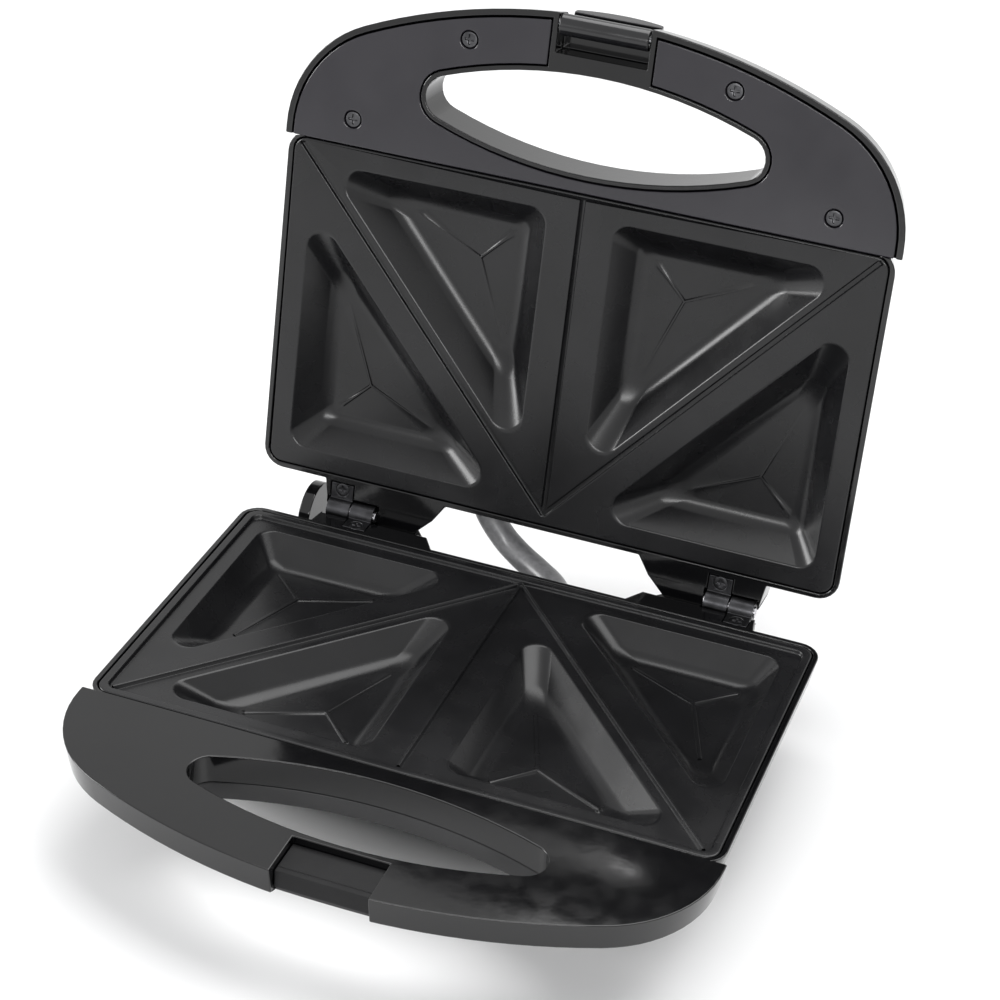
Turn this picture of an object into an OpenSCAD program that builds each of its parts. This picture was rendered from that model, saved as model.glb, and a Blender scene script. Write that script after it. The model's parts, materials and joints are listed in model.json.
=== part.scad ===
// Sandwich toaster for two square slices, cut into four triangles.
// Two shallow shells are hinged at the back. Each holds a coated plate with four pockets,
// a tubular heating element and a heat shield, and ends in half of a closed front grip.
// A clip on the upper grip swings over a keeper in the lower grip.
//
// Lengths are worked out about the hinged joint between the shells: X to the right,
// Y to the back from the plates' centre, Z up from the plane where the shells meet.
// Every lower piece is drawn below that plane. Every upper piece is drawn the same way,
// then mirrored and swung open on the hinge.

/* [Plates] */
// Width of a plate
plate_w = 220; // [212:1:228]
// Depth of a plate, front to back
plate_d = 127; // [122:1:132]
// Thickness of the plates' metal
plate_t = 2.4; // [2:0.1:3]
// Corner radius of a plate
plate_r = 5; // [3:0.5:7]
// Depth of a pocket below the plate's face
pocket_depth = 10; // [8:0.5:10.5]
// Level run of a pocket's sloping wall
pocket_run = 8; // [6:0.5:9]
// Distance from the plate's edge to its pockets
pocket_margin = 9; // [8.5:0.5:12]
// Distance from the plate's middle line to its inner pockets
middle_margin = 13.5; // [13:0.5:17]
// Distance from a diagonal to the inner pocket beside it
inner_margin = 4.5; // [4:0.5:8]
// Distance from a diagonal to the outer pocket beside it
outer_margin = 12; // [9:0.5:13]
// Corner radius of a pocket at the plate's face
pocket_r = 4.5; // [3.5:0.5:6]
// Width of the raised rim round the lower plate
rim_w = 3; // [2:0.5:4]
// Height of the lower plate's rim and cutting ridges
rim_h = 1.5; // [1:0.1:1.8]
// Width of a cutting ridge
ridge_w = 1.2; // [1:0.1:1.6]

/* [Shells] */
// Wall thickness of both shells
wall = 2.1; // [1.8:0.1:2.6]
// Room under a heat shield, for the wires and the terminal block
under_room = 13.14; // [11.64:0.5:17.14]
// Height of the steep band round a shell's rim
band_h = 11; // [10:0.5:12]
// Inward lean of the steep band
band_in = 2; // [1:0.5:3]
// Height of the soft edge round a shell's flat face
edge_h = 4; // [3:0.5:5]
// Inward run of a shell's lower wall, rim to flat face
low_in = 19; // [17:1:21]
// Height of the rubber feet below the lower shell
foot_h = 6; // [4:0.5:8]
// Radius of a rubber foot
foot_r = 7; // [6:0.5:8]
// Corner radius of the shells' back corners at the rim
shell_r = 8; // [7:0.5:10]

/* [Grip] */
// Reach of the grips past the shells
grip_out = 60.5; // [58:0.5:65]
// Radius of the grip's long front curve
grip_r = 215; // [200:5:240]
// Radius of the grip's two corners
grip_corner_r = 45; // [42:1:48]
// How far the grip stands out past the shell on each side
grip_step = 1.5; // [1:0.5:3]
// Thickness of the grip beside the finger hole
grip_t = 18; // [17:0.5:19]
// Half the length of the finger hole
hole_l = 62; // [56:1:64]
// Width of the grip in front of the finger hole
grip_bar = 21; // [20:0.5:22]
// Radius of the finger hole's ends
hole_end_r = 8; // [6:0.5:9]
// Wall thickness round the finger hole
hole_wall = 1.8; // [1.5:0.1:2.2]

/* [Hinges] */
// Angle between the open lid and the closed one
open_deg = 98.6; // [95:0.2:105]
// Distance of the hinge axis behind the shells
hinge_out = 11; // [10:0.5:13]
// Distance of each hinge from the side of its shell
hinge_in = 38; // [36:0.5:40]
// Radius of a hinge knuckle
knuckle_r = 4; // [3.5:0.1:4.3]
// Length of a hinge knuckle
knuckle_l = 9; // [8:0.5:9.5]
// Radius of the hinge pins
pin_r = 2; // [1.6:0.1:2.3]
// Thickness of a hinge leaf
leaf_t = 1.9; // [1.5:0.1:2.2]

/* [Clip] */
// Length of the clip along the grip
clip_w = 32; // [28:1:34]
// Radius of the clip's round bar
clip_bar_r = 3.8; // [3.4:0.1:4]
// Reach of the clip from its pivot to its tip
clip_reach = 15.5; // [15:0.5:16.5]
// Rise of the bowed pull past the clip's lip
clip_pull = 3; // [2:0.5:4]
// Thickness of the clip's blade and lip
clip_t = 2.6; // [2.2:0.1:3]
// Angle the clip swings from released to locked
clip_deg = 175; // [160:1:176]
// Radius of the clip's pivot pin
clip_pin_r = 1.2; // [1:0.1:1.4]

/* [Inside] */
// Radius of the tubular heating elements
element_r = 3; // [2.6:0.1:3.2]
// Distance of the element's long runs from the middle
element_y = 38; // [34:1:40]
// Distance of the element's side runs from the middle
element_x = 60; // [56:1:64]
// Bend radius of the elements
bend_r = 12; // [10:1:14]
// Thickness of a heat shield
shield_t = 0.8; // [0.6:0.1:1]
// Radius of the link lead between the shells
lead_r = 5; // [4.5:0.1:5.2]
// Radius of the hole for the supply cord in its gland
cord_hole_r = 3.6; // [3.2:0.1:4]

/* [Hidden] */

// Named clearances
half_gap = 0.2;         // each shell stops this far short of the joint plane
plate_fit = 0.4;        // round a plate in its shell
cover_fit = 0.3;        // round a cover in its shell
seam = 0.2;             // between two mouldings that meet
run_fit = 0.05;         // round a pin or screw in its hole
swing_fit = 0.6;        // round a knuckle in its slot
lip_fit = 0.35;         // between the locked clip and its keeper
lead_fit = 0.15;        // round the link lead in its grommets
touch = 0.02;           // between two pieces that rest on each other

// Heating parts, as depths below the joint plane
slab_low = half_gap + rim_h + plate_t;
face_z = half_gap + rim_h;
bulge_z = face_z + pocket_depth + plate_t;
element_z = bulge_z + element_r + touch;
element_end_x = 14;
element_pin_r = 1.4;
element_pin_l = 8;
clamp_t = 1.5;
clamp_w = 12;
clamp_top = element_z + element_r + touch;
shield_top = clamp_top + clamp_t + touch;
shield_x = plate_w / 2 - 18;
shield_y = plate_d / 2 - 22.5;
shield_screw_l = 10;
middle_posts = [0, -28];
pad_h = 3;
pad_screw_r = 1.1;
thermostat_y = element_y - 2;
thermostat_r = 8;
thermostat_h = 9;
thermostat_screw_x = 12;

// Shell outline
skin = 2.4;
shell_h = shield_top + shield_t + under_room + skin;
shell_w = plate_w + 2 * (plate_fit + wall);
shell_back = plate_d / 2 + plate_fit + wall;
shell_front = shell_back;
side_h = shell_h - edge_h;
edge_in = low_in - edge_h;
side_slope = (edge_in - band_in) / (side_h - band_h);
part_z = shell_h + foot_h;

// Grip outline
grip_x = shell_w / 2 + grip_step;
grip_reach = shell_front + grip_out;
grip_centre_y = grip_r - grip_reach;
corner_x = grip_x - grip_corner_r;
corner_y = grip_centre_y - sqrt(pow(grip_r - grip_corner_r, 2) - pow(corner_x, 2));
grip_low_in = 21;
hole_gap = 4.5;
hole_w = (grip_out - hole_gap - grip_bar) / 2;
hole_y = -shell_front - hole_gap - hole_w;
hole_long_r = (pow(hole_l - hole_end_r, 2) + pow(hole_w, 2) - pow(hole_end_r, 2))
    / (2 * (hole_w - hole_end_r));
bridge_x = clip_w / 2 + 2.6;
bridge_y = hole_y - hole_w - 0.4;
clip_pocket_back = 14.9 - grip_reach;
clip_pocket_h = 9;
cover_rim = 3;
cover_gap = 0.6;
cover_t = 2.4;

// Hinges
hinge_x = shell_w / 2 - hinge_in;
hinge_y = shell_back + hinge_out;

// Standing place: the origin lies under the middle of the open toaster
lid_rear = hinge_y - (hinge_y + shell_front - low_in) * cos(open_deg) + shell_h * sin(open_deg);
middle_y = (grip_reach - lid_rear) / 2;

// Hinge ears
lid_ear_back = hinge_y + 3.5;
ear_reach = lid_ear_back + 3.5;
ear_plan = [
    [hinge_x - 36.5, shell_back - 8],
    [hinge_x - 36.5, shell_back],
    [hinge_x - 32, hinge_y - 4],
    [hinge_x - 24.5, lid_ear_back],
    [hinge_x + 6.5, lid_ear_back],
    [hinge_x + 10.3, hinge_y - 1],
    [hinge_x + 12, shell_back],
    [hinge_x + 12, shell_back - 8]
];
ear_h = 16;
stop_gap = 0.3;
cheek_x = hinge_x + 15.5;
cheek_t = 4.5;
cheek_r = 12;
cheek_y = hinge_y + 6;
cheek_z = -8;
heel_w = 10;
heel_l = 8;
heel_back = hinge_y + 3;

// Hinge leaves and their sunk screws
leaf_top = half_gap;
leaf_front = shell_back + 0.8;
leaf_x = knuckle_l / 2 + 0.25;
leaf_w = knuckle_l - 0.2;
leaf_screw_y = hinge_y - 7.8;
leaf_screw_r = 1.25;
leaf_screw_l = 9;
leaf_screw_head_r = 2.5;
leaf_screw_head_h = 0.9;
leaf_sink = 1.1;

// Clip and its keeper
clip_y = 5.3 - grip_reach;
clip_z = -2.8;
clip_lip = 0.9;
pull_r = (pow(clip_w / 2, 2) + pow(clip_pull, 2)) / (2 * clip_pull);
keeper_x = clip_w / 2 + 0.6;
keeper_top = 3;
keeper_front = clip_y - clip_bar_r + clip_t + 0.4;
keeper_back = hole_y - hole_w - hole_wall - seam;
keeper_low = clip_reach + clip_z - clip_t - lip_fit;
keeper_relief = clip_y + clip_lip + 0.4;
slot_back = clip_y + clip_bar_r + 0.4;

// Fasteners
screw_r = 1.5;
screw_head_r = 2.8;
screw_head_h = 1.8;
post_r = 3.6;
post_h = 7;
post_x = plate_w / 2 - 8.5;
post_y = plate_d / 2 - 8.5;
lug_top = slab_low + post_h + touch;
lug_in = 4.5;
lug_t = 3;
grip_screws = [[48, 16.3 - grip_reach], [grip_x - 25.5, -shell_front - 7.6]];
grip_seat = 12.6;
column_r = 4.2;
column_h = 11;
column_web = 2.4;
cover_screw_x = shell_w / 2 - 26.5;
cover_screw_y = shell_back - 29;

// Cuts along the middle and both diagonals of a plate
diagonal_foot = [plate_w / 2 - 3.5, -plate_d / 2 + 2];
diagonal_top = [0, plate_d / 2 - 4];
diagonal_slope = norm(diagonal_top - diagonal_foot) / (diagonal_top[1] - diagonal_foot[1]);
outer_shift = outer_margin * diagonal_slope;
inner_shift = inner_margin * diagonal_slope;
groove_w = 1.8;
groove_h = 1.2;

// Bottom cover
cover_top = side_h + seam;
floor_z = shell_h - skin;
foot_x = shell_w / 2 - 42.5;
foot_y = shell_back - 31;
foot_sink = 1;
foot_stem_r = 2.5;
foot_head_r = 3.4;
cover_seat = shell_h - 2.1;

// Leads
boss_r = 9;
base_lead_x = 11;
base_lead_z = 11;
lid_lead_x = -25;
lid_lead_z = 14;
grommet_r = lead_r + 2.4;
grommet_neck_r = lead_r + 1.3;
grommet_stand = 2;
gland_x = -24;
gland_z = 24;
gland_face = shell_back - 3;
gland_r = 7.5;
gland_neck_r = 6;
gland_stand = 2;
gland_l = 10;
clamp_bar_y = shell_back - 21.5;
clamp_bar_d = 5;
clamp_leg = 9;
clamp_seat = 27;
terminal_at = [-60, 18];
wire_r = 1.1;
sweep_side = [0.31, 0.17, 0.94];

// Indicator lenses on the flat top of the lid
lens_x = 9;
lens_y = -33;
lens_r = 4;
lens_flange = 1.4;
lens_dome = 1.2;
lamp_r = 2.4;

module place() {
    translate([0, middle_y, part_z]) children();
}

module open_lid() {
    place()
        translate([0, hinge_y, 0])
            rotate([-open_deg, 0, 0])
                translate([0, -hinge_y, 0])
                    mirror([0, 0, 1]) children();
}

// ---- Plane shapes ----

function unit(v) = v / norm(v);
function lerp(a, b, t) = a + (b - a) * t;

module round_rect(w, d, r) {
    square([w - 2 * r, d], center = true);
    square([w, d - 2 * r], center = true);
    for (x = [-1, 1], y = [-1, 1])
        translate([x * (w / 2 - r), y * (d / 2 - r)]) circle(r = r, $fn = 48);
}

// Points along an arc, without its last one
function arc(c, r, from, to, n) = [
    for (i = [0 : n - 1])
        let (a = lerp(from, to, i / n))
        [c[0] + r * cos(a), c[1] + r * sin(a)]
];

// Oval of four arcs, grown by a given amount
module finger_oval(grow = 0) {
    long_y = hole_long_r - hole_w;
    end_x = hole_l - hole_end_r;
    meet = atan2(long_y, end_x);
    translate([0, hole_y])
        polygon(concat(
            arc([end_x, 0], hole_end_r + grow, -meet, meet, 10),
            arc([0, -long_y], hole_long_r + grow, meet, 180 - meet, 16),
            arc([-end_x, 0], hole_end_r + grow, 180 - meet, 180 + meet, 10),
            arc([0, long_y], hole_long_r + grow, 180 + meet, 360 - meet, 16)
        ));
}

// ---- Lofted solids ----

// Closed solid through rings that all have as many points, from the lowest to the highest
module loft(rings) {
    n = len(rings[0]);
    m = len(rings);
    polyhedron(
        points = [for (ring = rings) each ring],
        faces = concat(
            [[for (i = [0 : n - 1]) i]],
            [for (k = [0 : m - 2], i = [0 : n - 1]) each [
                [k * n + i, (k + 1) * n + i, (k + 1) * n + (i + 1) % n],
                [k * n + i, (k + 1) * n + (i + 1) % n, k * n + (i + 1) % n]
            ]],
            [[for (i = [n - 1 : -1 : 0]) (m - 1) * n + i]]
        ));
}

// Ring of a shell's outline at a depth, drawn inside the rim by the inset
function shell_ring(inset, depth) =
    let (
        w = shell_w / 2 - inset,
        back = shell_back - inset,
        front = -shell_front + inset,
        r = max(shell_r - inset * 0.2, 2),
        corners = [[w - r, back - r, 0], [-w + r, back - r, 90], [-w + r, front + r, 180],
            [w - r, front + r, 270]]
    )
    [for (c = corners, a = [0 : 15 : 90])
        [c[0] + r * cos(c[2] + a), c[1] + r * sin(c[2] + a), -depth]];

// Inset of a shell's wall at a depth
function wall_in(depth) =
    depth <= band_h ? band_in * depth / band_h
    : depth <= side_h ? band_in + side_slope * (depth - band_h)
    : edge_in + (low_in - edge_in) * (depth - side_h) / edge_h;

// Solid of the shell's tub between two depths, drawn in from the outer wall by a thickness
module tub(thick, top, low) {
    steps = [for (d = [low, side_h, band_h, top]) if (d <= low && d >= top) d];
    depths = [for (i = [0 : len(steps) - 1]) if (i == 0 || steps[i] != steps[i - 1]) steps[i]];
    loft([for (d = depths) shell_ring(wall_in(d) + thick, d)]);
}

// ---- Grip ----

// Inset of the grip's wall at a depth: steep band, then the sloping outer face
function grip_in(depth) =
    depth <= band_h ? band_in * depth / band_h
    : lerp(band_in, grip_low_in, (depth - band_h) / (grip_t - band_h));

// Ring of the grip's outline, ending a given distance past the tub's front wall
function grip_ring(inset, depth, tuck) =
    let (
        w = grip_x - inset,
        back = -shell_front + wall_in(depth) + tuck,
        turn = atan2(grip_centre_y - corner_y, corner_x),
        outline = concat(
            [[-w, back]],
            arc([-corner_x, corner_y], grip_corner_r - inset, 180, 180 + turn, 12),
            arc([0, grip_centre_y], grip_r - inset, 180 + turn, 360 - turn, 26),
            arc([corner_x, corner_y], grip_corner_r - inset, 360 - turn, 360, 12),
            [[w, corner_y], [w, back]])
    )
    [for (p = outline) [p[0], p[1], -depth]];

// Solid of the grip's half between two depths, drawn in by a thickness and a rise
module grip(thick, top, low, tuck, rise = 0) {
    steps = [for (d = [low, band_h, band_h - rise, top]) if (d <= low && d >= top) d];
    depths = [for (i = [0 : len(steps) - 1]) if (i == 0 || steps[i] != steps[i - 1]) steps[i]];
    loft([for (d = depths) grip_ring(grip_in(d + rise) + thick, d, tuck)]);
}

// ---- Shared pieces ----

module finger_hole(grow, top, low) {
    translate([0, 0, -low]) linear_extrude(low - top) finger_oval(grow);
}

// Round bar along Y, starting at the present place
module bar_y(r, l) {
    rotate([-90, 0, 0]) cylinder(r = r, h = l, $fn = 64);
}

// Round bar along X, centred on the present place
module bar_x(r, l) {
    rotate([0, 90, 0]) cylinder(r = r, h = l, center = true, $fn = 64);
}

// Upright round bar between two depths
module post(r, top, low) {
    translate([0, 0, -low]) cylinder(r = r, h = low - top, $fn = 48);
}

module both_sides() {
    for (side = [0, 1]) mirror([side, 0, 0]) children();
}

module four_corners(x, y) {
    for (i = [-1, 1], j = [-1, 1]) translate([i * x, j * y, 0]) children();
}

// Pan head screw with a crossed recess: head below the present place, shank above it
module screw(r, l, head_r, head_h) {
    difference() {
        union() {
            translate([0, 0, -head_h]) cylinder(r = head_r, h = head_h, $fn = 48);
            cylinder(r = r, h = l, $fn = 32);
        }
        for (a = [0, 90])
            rotate([0, 0, a])
                translate([0, 0, -head_h])
                    cube([head_r * 1.3, head_r * 0.3, head_h], center = true);
    }
}

module screw_down(r, l, head_r, head_h) {
    rotate([180, 0, 0]) screw(r, l, head_r, head_h);
}

// Smooth route through points: four short steps to each stretch
function route_point(p, i, t) =
    let (
        a = p[max(i - 1, 0)], b = p[i], c = p[i + 1], d = p[min(i + 2, len(p) - 1)],
        m = (c - a) / 2, n = (d - b) / 2
    )
    b * (2 * pow(t, 3) - 3 * pow(t, 2) + 1) + m * (pow(t, 3) - 2 * pow(t, 2) + t)
        + c * (3 * pow(t, 2) - 2 * pow(t, 3)) + n * (pow(t, 3) - pow(t, 2));

function smooth_route(p, steps) = concat(
    [for (i = [0 : len(p) - 2], k = [0 : steps - 1]) route_point(p, i, k / steps)],
    [p[len(p) - 1]]);

// Tube of even thickness swept along a route
module sweep(path, r, sides) {
    n = len(path);
    along = [for (i = [0 : n - 1]) unit(path[min(i + 1, n - 1)] - path[max(i - 1, 0)])];
    loft([for (i = [0 : n - 1])
        let (
            u = unit(cross(along[i], sweep_side)),
            v = cross(along[i], u)
        )
        [for (a = [0 : sides - 1]) path[i] + r * (u * cos(a * 360 / sides)
            + v * sin(a * 360 / sides))]]);
}

// ---- Hinge ears ----

module ear(reach) {
    translate([0, 0, -ear_h - half_gap])
        linear_extrude(ear_h)
            polygon([for (p = ear_plan)
                p[1] > hinge_y + 1 ? [p[0], p[1] + reach - lid_ear_back] : p]);
}

// Clear space round both knuckles of each hinge
module knuckle_slots() {
    for (x = [-1, 1])
        translate([x * hinge_x, hinge_y, 0])
            bar_x(knuckle_r + swing_fit, 2 * knuckle_l + 4 * swing_fit);
}

// Places on an ear's face where the leaves of one side lie
module leaf_places(side) {
    for (x = [-1, 1]) translate([x * hinge_x + side * leaf_x, 0, -leaf_top]) children();
}

// Seats and screw holes for the leaves of one side
module leaf_cuts(side) {
    leaf_places(side) {
        translate([-leaf_w / 2 - cover_fit, leaf_front - cover_fit, -leaf_t - touch])
            cube([leaf_w + 2 * cover_fit, hinge_y - leaf_front, leaf_t + 2 * leaf_top]);
        translate([0, leaf_screw_y, -leaf_sink - leaf_screw_l - 1])
            cylinder(r = leaf_screw_r + run_fit, h = leaf_screw_l + leaf_sink, $fn = 32);
    }
}

module hinge_leaves(side) {
    leaf_places(side)
        difference() {
            union() {
                translate([0, hinge_y, leaf_top]) bar_x(knuckle_r, knuckle_l);
                translate([-leaf_w / 2, leaf_front, -leaf_t])
                    cube([leaf_w, hinge_y - leaf_front, leaf_t]);
            }
            translate([0, hinge_y, leaf_top]) bar_x(pin_r + run_fit, 2 * knuckle_l);
            translate([0, leaf_screw_y, -leaf_t - 1])
                cylinder(r = leaf_screw_r + run_fit, h = leaf_t + 2, $fn = 32);
            translate([0, leaf_screw_y, -leaf_sink])
                cylinder(r = leaf_screw_head_r + 2 * run_fit, h = leaf_sink + 1, $fn = 48);
        }
}

module hinge_screws(side) {
    leaf_places(side)
        translate([0, leaf_screw_y, touch - leaf_sink])
            screw_down(leaf_screw_r, leaf_screw_l, leaf_screw_head_r, leaf_screw_head_h);
}

// ---- Plates ----

// Corners of a pocket: the outer one beside the shell, or the inner one beside the middle
function diagonal_x(y, shift) =
    diagonal_foot[0] * (diagonal_top[1] - y) / (diagonal_top[1] - diagonal_foot[1]) + shift;
function diagonal_y(x, shift) =
    diagonal_top[1] - (x - shift) * (diagonal_top[1] - diagonal_foot[1]) / diagonal_foot[0];

function outer_pocket() =
    let (x = plate_w / 2 - pocket_margin, y = plate_d / 2 - pocket_margin)
    [[x, y], [diagonal_x(y, outer_shift), y], [x, diagonal_y(x, outer_shift)]];
function inner_pocket() =
    let (x = middle_margin, y = -plate_d / 2 + pocket_margin)
    [[x, y], [diagonal_x(y, -inner_shift), y], [x, diagonal_y(x, -inner_shift)]];

// Middle of a triangle's inscribed circle, and that circle's radius
function side_lengths(t) = [norm(t[1] - t[2]), norm(t[2] - t[0]), norm(t[0] - t[1])];
function triangle_middle(t) =
    let (s = side_lengths(t))
    (t[0] * s[0] + t[1] * s[1] + t[2] * s[2]) / (s[0] + s[1] + s[2]);
function inner_radius(t) =
    let (s = side_lengths(t), u = t[1] - t[0], v = t[2] - t[0])
    abs(u[0] * v[1] - u[1] * v[0]) / (s[0] + s[1] + s[2]);

// Rounded triangle drawn in by an inset, as a ring at a depth
function triangle_ring(t, inset, r, depth) =
    let (
        middle = triangle_middle(t),
        k = 1 - (inset + r) / inner_radius(t)
    )
    [for (i = [0 : 2])
        let (
            before = unit(t[i] - t[(i + 2) % 3]),
            after = unit(t[(i + 1) % 3] - t[i]),
            c = middle + (t[i] - middle) * k,
            a0 = atan2(-before[0], before[1]),
            turn = (atan2(-after[0], after[1]) - a0 + 720) % 360
        )
        for (j = [0 : 5]) [
            c[0] + r * cos(a0 + turn * j / 5),
            c[1] + r * sin(a0 + turn * j / 5),
            -depth
        ]];

function ordered(t) = // counter-clockwise from above
    let (u = t[1] - t[0], v = t[2] - t[0])
    u[0] * v[1] - u[1] * v[0] > 0 ? t : [t[0], t[2], t[1]];

function mirrored(t) = [for (p = t) [-p[0], p[1]]];

function pockets() = [
    for (t = [outer_pocket(), inner_pocket()]) each [ordered(t), ordered(mirrored(t))]
];

// Hollow of the pockets, from above the face down to the floor
module pocket_hollows() {
    flare = (face_z + 1) * pocket_run / pocket_depth;
    for (t = pockets())
        loft([
            triangle_ring(t, pocket_run, pocket_r, face_z + pocket_depth),
            triangle_ring(t, -flare, pocket_r + flare, -1)
        ]);
}

// Metal round the pockets, below the plate's slab
module pocket_bulges() {
    for (t = pockets())
        loft([
            triangle_ring(t, pocket_run - plate_t, pocket_r + plate_t, bulge_z),
            triangle_ring(t, -plate_t, pocket_r + plate_t, face_z)
        ]);
}

// Lines along the middle and both diagonals, where the slices are cut
module cutting_lines(w, top, low) {
    translate([-w / 2, diagonal_foot[1], -low])
        cube([w, diagonal_top[1] - diagonal_foot[1], low - top]);
    run = diagonal_top - diagonal_foot;
    both_sides()
        translate([diagonal_foot[0], diagonal_foot[1], -low])
            rotate([0, 0, atan2(run[1], run[0])])
                translate([0, -w / 2, 0]) cube([norm(run), w, low - top]);
}

module plate_body() {
    difference() {
        union() {
            translate([0, 0, -slab_low])
                linear_extrude(slab_low - half_gap) round_rect(plate_w, plate_d, plate_r);
            pocket_bulges();
            four_corners(post_x, post_y) post(post_r, face_z, slab_low + post_h);
            for (y = middle_posts)
                translate([0, y, 0]) post(post_r, face_z, clamp_top - touch);
            for (x = [-1, 1])
                translate([x * thermostat_screw_x, thermostat_y, 0])
                    post(post_r, face_z, slab_low + pad_h);
        }
        pocket_hollows();
        four_corners(post_x, post_y)
            post(screw_r + run_fit, slab_low + 1, slab_low + post_h + 1);
        for (y = middle_posts)
            translate([0, y, 0]) post(screw_r + run_fit, slab_low + 1, clamp_top + 1);
        for (x = [-1, 1])
            translate([x * thermostat_screw_x, thermostat_y, 0])
                post(pad_screw_r + run_fit, face_z + 1, slab_low + pad_h + 1);
    }
}

module plate_screws() {
    four_corners(post_x, post_y)
        translate([0, 0, -lug_top - lug_t - touch])
            screw(screw_r, lug_t + post_h - 1, screw_head_r, screw_head_h);
}

// Upright seat round a plate's edge, cut into the leaning wall
module plate_seat() {
    translate([0, 0, -slab_low - plate_fit])
        linear_extrude(slab_low + plate_fit + 1)
            round_rect(plate_w + 2 * plate_fit, plate_d + 2 * plate_fit, plate_r + plate_fit);
}

// Shelves in the corners of a shell that hold the plate's posts
module plate_lugs() {
    x = post_x - lug_in;
    y = post_y - lug_in;
    difference() {
        intersection() {
            tub(1, half_gap, side_h);
            for (i = [0, 1], j = [0, 1])
                mirror([i, 0, 0])
                    mirror([0, j, 0])
                        translate([x, y, -lug_top - lug_t])
                            cube([shell_w / 2 - x, shell_back - y, lug_t]);
        }
        four_corners(post_x, post_y)
            post(screw_r + run_fit, lug_top - 1, lug_top + lug_t + 1);
    }
}

// ---- Heating parts ----

// Tubular element: front and side runs with rounded corners, open at the back
module heating_element() {
    z = -element_z;
    side_l = 2 * (element_y - bend_r);
    front_l = 2 * (element_x - bend_r);
    end_l = element_x - bend_r - element_end_x;
    translate([0, -element_y, z]) bar_x(element_r, front_l);
    both_sides() {
        translate([element_x, -side_l / 2, z]) bar_y(element_r, side_l);
        for (y = [-1, 1])
            translate([element_x - bend_r, y * (element_y - bend_r), z])
                rotate([0, 0, y > 0 ? 0 : -90])
                    rotate_extrude(angle = 90, $fn = 96)
                        translate([bend_r, 0]) circle(r = element_r, $fn = 48);
        translate([element_end_x + end_l / 2, element_y, z]) bar_x(element_r, end_l);
        translate([element_end_x - element_pin_l / 2 + touch, element_y, z])
            bar_x(element_pin_r, element_pin_l);
    }
}

// Straps that press the element against the pockets' floors
module element_clamps() {
    low = clamp_top + clamp_t;
    difference() {
        union() {
            translate([-element_x - 2 * element_r, middle_posts[0] - clamp_w / 2, -low])
                cube([2 * element_x + 4 * element_r, clamp_w, clamp_t]);
            translate([-clamp_w / 2, -element_y - 2 * element_r, -low])
                cube([clamp_w, middle_posts[1] + clamp_w / 2 + element_y + 2 * element_r,
                    clamp_t]);
        }
        for (y = middle_posts)
            translate([0, y, 0]) post(screw_r + run_fit, clamp_top - 1, low + 1);
    }
}

module heat_shield() {
    difference() {
        translate([0, 0, -shield_top - shield_t])
            linear_extrude(shield_t) round_rect(2 * shield_x, 2 * shield_y, bend_r);
        for (y = middle_posts)
            translate([0, y, 0])
                post(screw_r + run_fit, shield_top - 1, shield_top + shield_t + 1);
    }
}

module shield_screws() {
    for (y = middle_posts)
        translate([0, y, -shield_top - shield_t - touch])
            screw(screw_r, shield_screw_l, screw_head_r, screw_head_h);
}

// ---- Lower shell ----

module base_housing() {
    color([0.05, 0.05, 0.055]) place() {
        difference() {
            union() {
                tub(0, half_gap, side_h);
                grip(0, half_gap, band_h, wall - seam);
                base_ears();
                heels();
                rear_boss(base_lead_x, base_lead_z, shell_back);
                rear_boss(gland_x, gland_z, gland_face);
            }
            tub(wall, -1, side_h + 1);
            plate_seat();
            difference() {
                grip(wall, half_gap + skin, band_h + 1, -touch);
                finger_hole(hole_wall, -1, grip_t);
                keeper_gap(hole_wall, grip_t);
            }
            finger_hole(0, -1, grip_t + 1);
            keeper_gap(0, 2 * grip_t);
            rear_hole(base_lead_x, base_lead_z, grommet_neck_r + run_fit);
            rear_hole(gland_x, gland_z, gland_neck_r + run_fit);
        }
        plate_lugs();
        base_columns();
        grip_columns(half_gap + 1, band_h, half_gap + skin + 0.5, band_h + 1);
    }
}

// Open middle of the lower grip, where the keeper sits
module keeper_gap(grow, height) {
    translate([-keeper_x - grow, -2 * grip_reach, -height])
        cube([2 * (keeper_x + grow), 2 * grip_reach + keeper_back + grow, 2 * height]);
}

module rear_boss(x, depth, face) {
    difference() {
        translate([x, shell_back / 2, -depth]) bar_y(boss_r, face - shell_back / 2);
        tub(wall, -1, side_h + 1);
    }
}

module rear_hole(x, depth, r) {
    translate([x, shell_back / 2, -depth]) bar_y(r, shell_back);
}

// Ears with their stop for the open lid, and the round cheek beside the left hinge
module base_ears() {
    difference() {
        both_sides() ear(ear_reach);
        translate([0, hinge_y, 0]) {
            bar_x(lid_ear_back - hinge_y + swing_fit, 4 * shell_w);
            rotate([-open_deg, 0, 0])
                translate([-shell_w, -shell_w, 0])
                    cube([2 * shell_w, shell_w + lid_ear_back - hinge_y + stop_gap, shell_w]);
        }
        knuckle_slots();
        leaf_cuts(1);
    }
    difference() {
        union() {
            translate([-cheek_x - cheek_t / 2, cheek_y, cheek_z]) bar_x(cheek_r, cheek_t);
            translate([-cheek_x - cheek_t, shell_back / 2, cheek_z - cheek_r])
                cube([cheek_t, cheek_y - shell_back / 2, cheek_r]);
        }
        tub(wall, -1, side_h + 1);
    }
}

// Heels under the ears, which keep the open toaster from tipping back
module heels() {
    top = 0.5 - ear_h;
    both_sides()
        translate([hinge_x - heel_w / 2, 0, 0])
            rotate([90, 0, 90])
                linear_extrude(heel_w)
                    polygon([
                        [shell_back - edge_in, top],
                        [heel_back, top],
                        [heel_back, -part_z],
                        [heel_back - heel_l, -part_z],
                        [shell_back - edge_in, -side_h + heel_l]
                    ]);
}

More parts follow.
